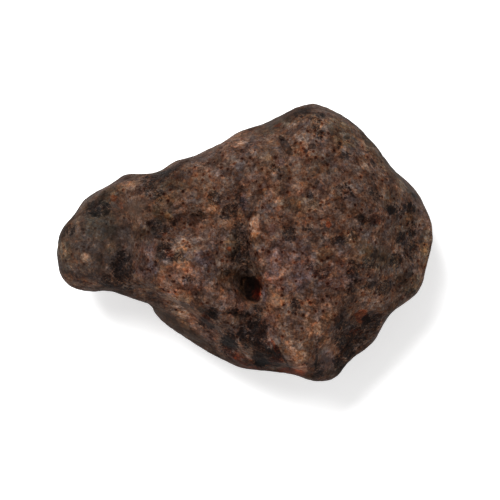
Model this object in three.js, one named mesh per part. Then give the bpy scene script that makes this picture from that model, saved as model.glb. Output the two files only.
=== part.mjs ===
import * as THREE from "three";
import { mergeVertices } from "three/addons/utils/BufferGeometryUtils.js";
import { ImprovedNoise } from "three/addons/math/ImprovedNoise.js";

// A lunar meteorite: one loose stone of weathered breccia, lying on a flat broken face.
// Millimetres, +Z up. X runs from the narrow lobe to the broad end.

// Driving dimensions
const FACE_HEIGHT = 34; // the upper face, before its swells and hollows
const RIM_HEIGHT = 16; // where the outline seen from above is widest
const BED_DEPTH = -2.2; // how far the rounded underside would reach below its flat bed
const FACE_SQUARENESS = 9; // how flat the upper face stays before it rounds over the rim
const BED_SQUARENESS = 2.6; // the same for the underside
const MIDDLE = new THREE.Vector3(-2, 0.5, 17); // the outline is measured from here
const MESH_STEPS = 19; // cuts along each edge of the icosahedron that the mesh starts from

// The stone's outline seen from above, clockwise from the tip of the lobe
const OUTLINE = [
  [-37.3, -0.1], [-36.8, 1.8], [-33.4, 5.7], [-32.0, 8.1], [-27.0, 11.1], [-23.7, 13.3],
  [-22.3, 13.5], [-19.0, 13.0], [-17.4, 13.4], [-15.6, 14.9], [-13.0, 16.3], [-9.8, 16.9],
  [-5.4, 19.5], [-0.6, 21.9], [1.2, 22.1], [7.0, 25.1], [11.6, 27.1], [14.5, 27.7],
  [17.4, 26.5], [19.2, 25.6], [23.0, 22.1], [24.2, 20.1], [28.6, 16.7], [30.0, 14.4],
  [34.9, 10.4], [37.3, 5.2], [37.7, 1.5], [36.2, -6.0], [35.8, -9.1], [34.5, -10.9],
  [30.1, -13.9], [27.3, -18.0], [26.2, -19.8], [20.1, -24.8], [19.0, -26.5], [17.2, -27.8],
  [13.8, -28.0], [9.4, -26.5], [0.4, -25.6], [-3.0, -24.1], [-11.0, -19.7], [-17.8, -14.4],
  [-18.7, -12.3], [-20.9, -10.3], [-26.4, -9.5], [-28.6, -9.9], [-33.8, -9.4], [-36.5, -7.2],
];

// Swells and hollows: centre, half-lengths along and across, turn of the long way, height.
// A form with an edge has steeper sides and a flatter middle.
const FACE_FORMS = [
  { at: [16, 3.5], half: [17, 13], turn: 0, height: 3.0 }, // broad bulge at the broad end
  { at: [-8, -8.5], half: [9, 6], turn: -38, height: 1.6 }, // bulge beside the groove
  { at: [-6, 11.5], half: [10, 5], turn: 25, height: 1.0 }, // shoulder above it
  { at: [-0.5, -0.5], half: [7.5, 2.1], turn: 92, height: -2.2 }, // groove between the bulges
  { at: [2.9, 1.8], half: [6.5, 1.7], turn: 97, height: 1.1 }, // crest along the groove
  { at: [-1.0, -7.9], half: [4.7, 3.7], turn: -10, height: -2.4, edge: 1.5 }, // bowl by the pit
  { at: [1, -18.5], half: [7, 4.8], turn: 82, height: -2.4 }, // valley below the pit
  { at: [-11, 2.9], half: [5.8, 3.4], turn: -12, height: -2.0, edge: 1.4 }, // dish by the neck
  { at: [-23.6, 1.0], half: [11, 2.9], turn: 93, height: -3.4, edge: 1.3 }, // valley across the neck
  { at: [-33, -1], half: [9, 13], turn: 0, height: -3.2 }, // the lobe is lower than the body
  { at: [-30.5, 0.0], half: [5.5, 5], turn: 0, height: 1.5 }, // crown of the lobe
  { at: [-28.8, 7.3], half: [2.8, 2.0], turn: 15, height: -1.2 }, // hollow above the crown
  { at: [-25.6, -5.6], half: [3.6, 1.9], turn: 90, height: -1.5 }, // hollow in the neck
  { at: [11, -21.5], half: [8, 3.0], turn: -62, height: 2.2 }, // ridge down to the low corner
  { at: [17.2, -24.2], half: [4, 2.0], turn: 85, height: -1.8, edge: 2 }, // step by that ridge
  { at: [24.2, -14.3], half: [2.6, 2.1], turn: 30, height: -1.6 }, // red hollow by the edge
  { at: [8.4, 19.5], half: [2.8, 1.1], turn: -64, height: -0.9 }, // slot where a clast fell out
  { at: [-6.6, -14.1], half: [1.7, 1.5], turn: 0, height: -1.0 }, // small pit
];
const PIT_FORMS = [
  { at: [0.7, -8.5], half: [1.7, 2.6], turn: 15, height: -5.2, edge: 1.4 }, // the deep pit
  { at: [2.1, -10.2], half: [1.9, 1.9], turn: 0, height: -2.8, edge: 1.4 }, // its lower right wall
];
const RIM_FORMS = [
  { at: [-11, -17], half: [12, 8], turn: -38, height: -4 },
  { at: [28, 14], half: [14, 8], turn: -45, height: -3 },
  { at: [8, 25], half: [9, 7], turn: 25, height: 3 },
  { at: [14, -27], half: [9, 8], turn: 0, height: 2.5 },
  { at: [-34, 0], half: [9, 12], turn: 0, height: 1.5 },
];
const BED_FORMS = [
  { at: [-33, 1], half: [14, 14], turn: 0, height: 7 }, // the lobe clears the ground
  { at: [30, 8], half: [9, 12], turn: 20, height: 3 },
  { at: [8, -25], half: [12, 7], turn: 0, height: 2.5 },
];

// Flat broken faces: the way each faces, its tilt above level, its reach from the middle
const BREAKS = [
  { azimuth: 38, tilt: 14, reach: 33.7 }, // upper right side
  { azimuth: 250, tilt: -40, reach: 21.3 }, // the rest face down, round the underside
  { azimuth: 300, tilt: -42, reach: 24.6 },
  { azimuth: 350, tilt: -38, reach: 31.8 },
  { azimuth: 50, tilt: -35, reach: 29.2 },
  { azimuth: 110, tilt: -25, reach: 18.1 },
  { azimuth: 150, tilt: -45, reach: 22.6 },
  { azimuth: 195, tilt: -50, reach: 23.8 },
];
const BREAK_ROUNDING = 2.2;

// Hollow broken faces, each part of a ball: its centre and radius
const CHIPS = [
  { at: [1.6, 33.4, 34.9], radius: 14.8 }, // strip along the upper left edge
  { at: [31, -28, 37], radius: 17 }, // slope down to the lower right edge
  { at: [50, -6, 46], radius: 28 }, // broad end
  { at: [-23.5, -36.2, 35.9], radius: 26.6 }, // strip along the lower left edge
  { at: [-13, 27, 3], radius: 16 }, // back, low
  { at: [8, -38, 6], radius: 16 }, // front, low
];
const CHIP_ROUNDING = 2.8;

// Lumps of the broken surface: length of a lump and how far it stands out
const LUMPS = [
  { length: 15, height: 2.0 },
  { length: 8, height: 1.3 },
  { length: 4.8, height: 0.7 },
];
const FACE_LUMP_SHARE = 0.7; // on the upper face, where the forms above are placed one by one

const LUMP_SHIFT = 9; // between one size of lump and the next, so that they differ
const RIM_CALM = 7; // the lumps grow to their full height over this distance from the rim
const RIM_LUMP_SHARE = 0.35; // what the smaller lumps keep at the rim

// The small notches of the outline belong to the rim, and fade above and below it
const NOTCHES_FADE_FROM = 0.15; // share of the way from the rim to the top or the bed
const NOTCHES_GONE_AT = 0.8;

// The surface as a mesh
const TURN = 2 * Math.PI;
const BINS = 720; // of the outline round the middle
const OUTLINE_POINTS = 1440; // along its curve
const NOTCH_SPAN = 18; // bins to either side that are averaged to leave the notches out
const SLOPE_STEP = 0.02; // the slope of the field is a difference over this distance
const LEAST_SLOPE = 0.3; // taken for the field's slope where it is less
const LEAST_FORM_SLOPE = 0.02; // the same for the rounded form's, which is nothing at its middle
const LONGEST_MOVE = 2; // of a point towards the surface, in one round
const START_SHARE = 0.95; // of the outline that the first, round shape takes up
const START_HALF_HEIGHT = 17;
const EVENING_ROUNDS = 70; // each point moves towards its neighbours' mean, then to the surface
const EVENING_SHARE = 0.6;
const LAST_MOVES = 4; // to the surface, when the points are even
const PIT_CROWDING = 2; // how much closer the points stand round the deep pit
const PIT_CROWDING_REACH = 4.5;
const BED_TOLERANCE = 0.01; // a point this low lies on the bed
const noise = new ImprovedNoise();

// The outline's distance from the middle, as a function of the angle
function outlineReach() {
  const middle = new THREE.Vector3(MIDDLE.x, MIDDLE.y, 0);
  const points = OUTLINE.map(([x, y]) => new THREE.Vector3(x, y, 0));
  const curve = new THREE.CatmullRomCurve3(points, true, "centripetal");
  const seen = curve.getPoints(OUTLINE_POINTS).map((p) => p.sub(middle));
  const reach = new Float64Array(BINS + 1);
  for (let i = 0; i < seen.length - 1; i++) {
    const [a, b] = [seen[i + 1], seen[i]]; // the outline runs clockwise
    const from = (Math.atan2(a.y, a.x) + TURN) % TURN;
    const span = (Math.atan2(b.y, b.x) - from + 2 * TURN) % TURN;
    const first = Math.ceil((from / TURN) * BINS);
    for (let bin = first; bin <= ((from + span) / TURN) * BINS; bin++) {
      const angle = (bin / BINS) * TURN;
      const across = new THREE.Vector3(-Math.sin(angle), Math.cos(angle), 0);
      const share = a.dot(across) / (a.dot(across) - b.dot(across));
      reach[bin % BINS] = a.clone().lerp(b, share).length();
    }
  }
  reach[BINS] = reach[0];
  return reach;
}
const outline = outlineReach();

// The same outline without its small notches
const broadOutline = outline.map((_, i) => {
  let sum = 0;
  for (let k = -NOTCH_SPAN; k <= NOTCH_SPAN; k++) {
    sum += outline[(i + k + BINS) % BINS];
  }
  return sum / (2 * NOTCH_SPAN + 1);
});

// The outline's reach at any angle, broadness 1 being the outline without its notches
function reachAt(angle, broadness) {
  const place = (((angle + TURN) % TURN) / TURN) * BINS;
  const bin = Math.floor(place);
  const between = (reach) => THREE.MathUtils.lerp(reach[bin], reach[bin + 1], place - bin);
  return THREE.MathUtils.lerp(between(outline), between(broadOutline), broadness);
}

// Turns each form into a function of x and y
function formSum(forms) {
  const made = forms.map(({ at, half, turn, height, edge = 1 }) => {
    const angle = THREE.MathUtils.degToRad(turn);
    const [cos, sin] = [Math.cos(angle), Math.sin(angle)];
    return (x, y) => {
      const along = ((x - at[0]) * cos + (y - at[1]) * sin) / half[0];
      const across = ((y - at[1]) * cos - (x - at[0]) * sin) / half[1];
      return height * Math.exp(-((along * along + across * across) ** edge));
    };
  });
  return (x, y) => made.reduce((sum, form) => sum + form(x, y), 0);
}
const faceForms = formSum(FACE_FORMS);
const pitForms = formSum(PIT_FORMS);
const rimForms = formSum(RIM_FORMS);
const bedForms = formSum(BED_FORMS);

function smoothMax(a, b, rounding) {
  const blend = Math.max(rounding - Math.abs(a - b), 0) / rounding;
  return Math.max(a, b) + (blend * blend * rounding) / 4;
}

// The rounded form: its distance outside the surface, below zero inside
function roundedForm(x, y, z, rim) {
  const [dx, dy] = [x - MIDDLE.x, y - MIDDLE.y];
  const above = z > rim;
  const faceRise = FACE_HEIGHT + faceForms(x, y) - rim;
  const bedDrop = rim - BED_DEPTH - bedForms(x, y);
  const height = above ? faceRise : bedDrop;
  const up = Math.abs(z - rim) / height;
  const broadness = THREE.MathUtils.smoothstep(up, NOTCHES_FADE_FROM, NOTCHES_GONE_AT);
  const reach = reachAt(Math.atan2(dy, dx), broadness);
  const out = Math.hypot(dx, dy) / reach;
  const power = above ? FACE_SQUARENESS : BED_SQUARENESS;
  const outside = out ** power + up ** 2 - 1;
  const slope = Math.hypot((power * out ** (power - 1)) / reach, (2 * up) / height);
  return outside / Math.max(slope, LEAST_FORM_SLOPE);
}

const breaks = BREAKS.map(({ azimuth, tilt, reach }) => {
  const [a, t] = [azimuth, tilt].map(THREE.MathUtils.degToRad);
  const facing = new THREE.Vector3(Math.cos(a) * Math.cos(t), Math.sin(a) * Math.cos(t), Math.sin(t));
  return { facing, reach: reach + facing.dot(MIDDLE) };
});

const chips = CHIPS.map(({ at, radius }) => ({ centre: new THREE.Vector3(...at), radius }));

// Lumps fade out at the rim, so that the outline keeps its place
function lumps(x, y, z, rim) {
  const fromRim = THREE.MathUtils.smoothstep(Math.abs(z - rim), 0, RIM_CALM);
  const share = z > rim ? FACE_LUMP_SHARE : 1;
  let sum = 0;
  LUMPS.forEach(({ length, height }, i) => {
    const fade = THREE.MathUtils.lerp(i ? RIM_LUMP_SHARE : 0, 1, fromRim);
    sum += fade * height * noise.noise(x / length, y / length, z / length + LUMP_SHIFT * i);
  });
  return sum * share;
}

// Distance outside the whole stone, its flat bed aside
function stoneField(p) {
  const rim = RIM_HEIGHT + rimForms(p.x, p.y);
  let field = roundedForm(p.x, p.y, p.z, rim);
  for (const { facing, reach } of breaks) {
    field = smoothMax(field, facing.dot(p) - reach, BREAK_ROUNDING);
  }
  for (const { centre, radius } of chips) {
    field = smoothMax(field, radius - centre.distanceTo(p), CHIP_ROUNDING);
  }
  return Math.max(field + lumps(p.x, p.y, p.z, rim), -p.z);
}

// Moves a point towards the surface, down or up the field's slope
function project(p) {
  const value = stoneField(p);
  const slope = new THREE.Vector3(
    stoneField(p.clone().setX(p.x + SLOPE_STEP)) - value,
    stoneField(p.clone().setY(p.y + SLOPE_STEP)) - value,
    stoneField(p.clone().setZ(p.z + SLOPE_STEP)) - value,
  ).divideScalar(SLOPE_STEP);
  const move = value / Math.max(slope.length(), LEAST_SLOPE);
  p.addScaledVector(slope.normalize(), -THREE.MathUtils.clamp(move, -LONGEST_MOVE, LONGEST_MOVE));
}

// The pull of a point on its neighbours: points stand closer round the deep pit
function crowding(p) {
  const [x, y] = PIT_FORMS[0].at;
  const away = Math.hypot(p.x - x, p.y - y) / PIT_CROWDING_REACH;
  return p.z > RIM_HEIGHT ? 1 + PIT_CROWDING * Math.exp(-away * away) : 1;
}

function stoneGeometry() {
  const ball = new THREE.IcosahedronGeometry(1, MESH_STEPS);
  ball.deleteAttribute("normal");
  ball.deleteAttribute("uv");
  const geometry = mergeVertices(ball, 1e-4);
  const place = geometry.attributes.position;
  const index = geometry.index.array;
  const points = Array.from({ length: place.count }, (_, i) =>
    new THREE.Vector3().fromBufferAttribute(place, i),
  );
  const neighbours = points.map(() => new Set());
  for (let i = 0; i < index.length; i += 3) {
    for (let k = 0; k < 3; k++) {
      const [here, next] = [index[i + k], index[i + ((k + 1) % 3)]];
      neighbours[here].add(next);
      neighbours[next].add(here);
    }
  }
  for (const p of points) {
    const reach = reachAt(Math.atan2(p.y, p.x), 1) * START_SHARE;
    p.set(MIDDLE.x + p.x * reach, MIDDLE.y + p.y * reach, RIM_HEIGHT + p.z * START_HALF_HEIGHT);
  }
  for (let round = 0; round < EVENING_ROUNDS; round++) {
    const weights = points.map(crowding);
    const old = points.map((p) => p.clone());
    points.forEach((p, i) => {
      const mean = new THREE.Vector3();
      let total = 0;
      for (const j of neighbours[i]) {
        mean.addScaledVector(old[j], weights[j]);
        total += weights[j];
      }
      p.lerp(mean.divideScalar(total), EVENING_SHARE);
      project(p);
    });
  }
  for (const p of points) {
    for (let k = 0; k < LAST_MOVES; k++) {
      project(p);
    }
    if (p.z > RIM_HEIGHT) {
      p.z += pitForms(p.x, p.y); // the deep pit is pressed straight down
    }
  }
  const box = new THREE.Box3().setFromPoints(points);
  const middle = box.getCenter(new THREE.Vector3());
  points.forEach((p, i) => {
    place.setXYZ(i, p.x - middle.x, p.y - middle.y, p.z < BED_TOLERANCE ? 0 : p.z);
  });
  geometry.computeVertexNormals();
  return geometry;
}

const breccia = new THREE.MeshStandardMaterial({ color: 0x5b4538, roughness: 0.75, metalness: 0 });
const stone = new THREE.Mesh(stoneGeometry(), breccia);
stone.name = "stone";

const meteorite = new THREE.Group();
meteorite.add(stone);

export default meteorite;
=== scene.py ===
import math

import bmesh
import bpy
import numpy as np
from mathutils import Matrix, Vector, kdtree, noise


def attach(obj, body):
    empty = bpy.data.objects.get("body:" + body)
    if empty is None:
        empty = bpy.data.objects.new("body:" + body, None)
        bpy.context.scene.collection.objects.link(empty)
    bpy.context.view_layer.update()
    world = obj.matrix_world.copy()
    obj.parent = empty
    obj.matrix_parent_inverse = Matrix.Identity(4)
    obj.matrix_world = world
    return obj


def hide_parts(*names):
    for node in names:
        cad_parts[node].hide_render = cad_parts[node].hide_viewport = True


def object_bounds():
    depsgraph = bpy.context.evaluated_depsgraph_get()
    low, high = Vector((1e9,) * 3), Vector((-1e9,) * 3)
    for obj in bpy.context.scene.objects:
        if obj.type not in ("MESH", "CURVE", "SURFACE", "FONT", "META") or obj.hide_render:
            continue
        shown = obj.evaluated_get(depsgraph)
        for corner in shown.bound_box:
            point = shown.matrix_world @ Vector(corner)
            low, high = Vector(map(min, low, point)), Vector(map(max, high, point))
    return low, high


# A lunar meteorite: one loose stone of weathered breccia, seen from straight above.
# Sizes are in millimetres here and turned to metres where Blender needs them.

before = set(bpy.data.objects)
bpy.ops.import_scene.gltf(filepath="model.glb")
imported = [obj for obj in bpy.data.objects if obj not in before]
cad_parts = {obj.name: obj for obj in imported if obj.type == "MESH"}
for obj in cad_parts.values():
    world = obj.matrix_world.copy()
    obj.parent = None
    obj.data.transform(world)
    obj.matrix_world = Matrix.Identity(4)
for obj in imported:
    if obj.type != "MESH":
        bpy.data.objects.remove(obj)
cad_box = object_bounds()

MM = 0.001  # a millimetre in metres
PER_MM = 1000.0  # millimetres in a metre

STONE_TOP = cad_box[1][2] * PER_MM
RIM_HEIGHT = 16.5  # the stone is widest here, about half way up

# The upper face, on which the marks lie as they are seen from above
FACE_SPREAD = 1.018  # it is nearer to the lens than the rim, so it looks this much larger
FACE_UP = 0.1  # its normals point up by more than this
FACE_MARGIN = 1.0  # how far below the rim it still counts

# The camera
PICTURE_WIDTH = 100.0  # what the picture's width takes in at the rim
PICTURE_MIDDLE = (1.0, -1.5)
LENS = 300.0
SENSOR = 36.0

# The broken surface: widths of its lumps, rock fragments and grains, and how far they stand out
SUBDIVISIONS = 2
LUMP = 4.5
LUMP_RELIEF = 0.26
LUMP_FADE = 1.0  # each finer set of lumps is half as high and half as wide
LUMP_SHRINK = 2.0
LUMP_SETS = 3
CLAST = 4.2
CLAST_SHIFT = Vector((5.1, 2.7, 8.3))  # keeps the clasts apart from the pattern of the grains
CLAST_RADIUS = 0.36  # in widths of a clast
CLAST_PICK = 11.3  # spreads the middles of the clasts out, so that each draws a number of its own
CLAST_STANDS_FROM = 0.45  # a clast that draws more than this stands out
CLAST_FELL_BELOW = -0.62  # one that draws less than this fell out and left a hollow
CLAST_RELIEF = 0.3
CLAST_HOLLOW = 0.5
HOLLOW_FLATNESS = 0.7  # below 1, a hollow has a flat floor and steep walls
GRAIN = 1.25
GRAIN_RELIEF = 0.13
GRAIN_PICK = 9.7  # as for the clasts
GRAIN_STEP = 0.8  # how much the grains differ in height
GRAIN_LEVEL = 0.4  # keeps their mean height near the solid's
BED_FADE = 1.5  # the relief comes in over this height above the flat bed
LEVEL = 0.5  # the value of the mask "standing" where the surface is level with the solid
STANDING_GAIN = 0.8  # how much that mask changes for a millimetre

# Patterns are bent by swirls of this width, and by up to this much, so that no grain is straight
SWIRL = 1.8
BEND = 0.4

MIDDLE = 0.5  # the middle value of every pattern, and of the tones of the matrix

# Noise in the rock: width of its largest spots, steps of finer detail, their strength, bent or not
NOISES = {
    "grit": (0.4, 3.0, 0.75, False),
    "speckle": (1.3, 3.0, 0.62, True),
    "mottle": (3.4, 2.0, 0.6, False),
    "cloud": (9.0, 2.0, 0.55, False),
    "stain": (0.8, 3.0, 0.7, True),
    "lace": (1.2, 5.0, 0.78, True),
    "thread": (1.9, 3.0, 0.65, True),
    "hair": (0.9, 3.0, 0.65, True),
    "seam": (1.1, 3.0, 0.7, True),
}
LINES = ("thread", "hair", "seam")  # these are drawn as the lines along the noise's middle value

# Grains and rock fragments as cells: mean width of each sort
CELLS = {
    "sand": 0.5,
    "grain": 0.95,
    "fragment": 2.3,
    "pore": 1.3,
    "crystal": 1.7,
}

# How much each pattern adds to the rock's light and dark
TONES = {
    "grit": 0.47,
    "speckle": 0.22,
    "mottle": 0.34,
    "cloud": 0.42,
    "sand red": 0.12,
    "grain red": 0.09,
    "fragment red": 0.1,
}

# The matrix from its darkest to its lightest grains
MATRIX_COLOURS = [
    (0.14, "#0d0909"),
    (0.29, "#221812"),
    (0.41, "#382a24"),
    (0.50, "#493a33"),
    (0.60, "#5c4c42"),
    (0.73, "#7c6b60"),
    (0.88, "#aea196"),
]

# Minerals: a pattern, the value at which its tint starts, the value at which it is full, the tint
MINERALS = [
    ("stain", 0.54, 0.66, (1.06, 0.9, 0.77)),  # rust in the matrix
    ("sand green", 0.6, 0.7, (1.1, 0.9, 0.75)),  # rusty sand
    ("fragment", 0.5, 0.72, (0.87, 0.73, 0.65)),  # rust between the fragments
    ("fragment", 0.45, 0.2, (1.1, 1.1, 1.1)),  # lighter middles of the fragments
    ("fragment green", 0.6, 0.75, (0.88, 0.93, 1.02)),  # grey rock fragments
    ("grain green", 0.62, 0.72, (0.87, 0.94, 1.03)),  # grey grains
    ("grain blue", 0.8, 0.88, (1.26, 1.24, 1.28)),  # pinkish plagioclase
    ("sand blue", 0.8, 0.88, (1.2, 1.23, 1.26)),  # pale sand
    ("fragment blue", 0.75, 0.9, (1.1, 1.0, 0.86)),  # tan fragments
    ("thread", 0.03, 0.0, (1.35, 1.2, 1.05)),  # light rusty threads round the grains
    ("hair", 0.022, 0.0, (1.2, 1.17, 1.1)),  # finer threads
    ("seam", 0.028, 0.004, (0.62, 0.56, 0.55)),  # dark seams between the grains
]

# Spots in some of the cells: cells, which of their values picks them and from where, radius, tint
SPOTS = [
    ("pore", "red", 0.5, 0.42, (1.06, 0.88, 0.77)),  # rusty rim of a pore
    ("pore", "red", 0.5, 0.27, (0.34, 0.22, 0.18)),  # the dark pore itself
    ("crystal", "green", 0.7, 0.22, (1.5, 1.48, 1.46)),  # pale crystal
    ("crystal", "blue", 0.76, 0.24, (0.4, 0.4, 0.42)),  # black grain
]
SPOT_EDGE = 0.6  # a spot is full at this share of its radius

# The fine grain as bump: how much each pattern adds to its height
BUMPS = {
    "grit": 1.0,
    "speckle": 0.7,
    "sand blue": 0.25,
    "grain green": 0.2,
}
PORE_BUMP = -0.8
BUMP_HEIGHT = 0.3
FRESH_BUMP = 0.75  # its strength where the stone is fresh, and where it is worn
WORN_BUMP = 0.25

# The rock is a little less rough where the speckles are light
SPECKLE_SPAN = (0.3, 0.7)
ROUGHNESS_SPAN = (0.95, 0.8)

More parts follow.
